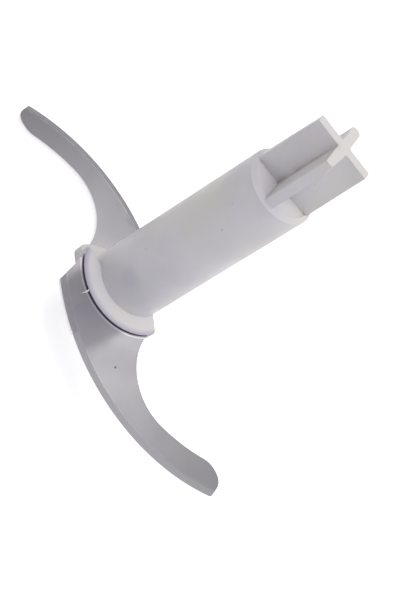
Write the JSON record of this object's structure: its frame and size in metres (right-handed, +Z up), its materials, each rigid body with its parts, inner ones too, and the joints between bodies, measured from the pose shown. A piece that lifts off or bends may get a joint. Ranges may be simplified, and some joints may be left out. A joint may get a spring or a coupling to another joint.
{
  "type": "food processor blade",
  "caption": "Food processor knife: a tall moulded hub with a cross key on its crown and curved steel blades set low and high on opposite sides.",
  "frame": {"origin": "middle of the hub's foot, on the drive axis", "axes": "+Z up along the drive axis, +X the way the upper blade reaches, the cross's fins along X and Y"},
  "size_m": [0.1564, 0.1018, 0.139],
  "materials": {
    "hub_plastic": "white, satin as moulded",
    "upper_steel": "satin sheet with a ground edge",
    "lower_steel": "satin sheet with a ground edge"
  },
  "bodies": {
    "root": {"hub": "hub_plastic", "upper_blade": "upper_steel", "lower_blade": "lower_steel"}
  },
  "joints": []
}
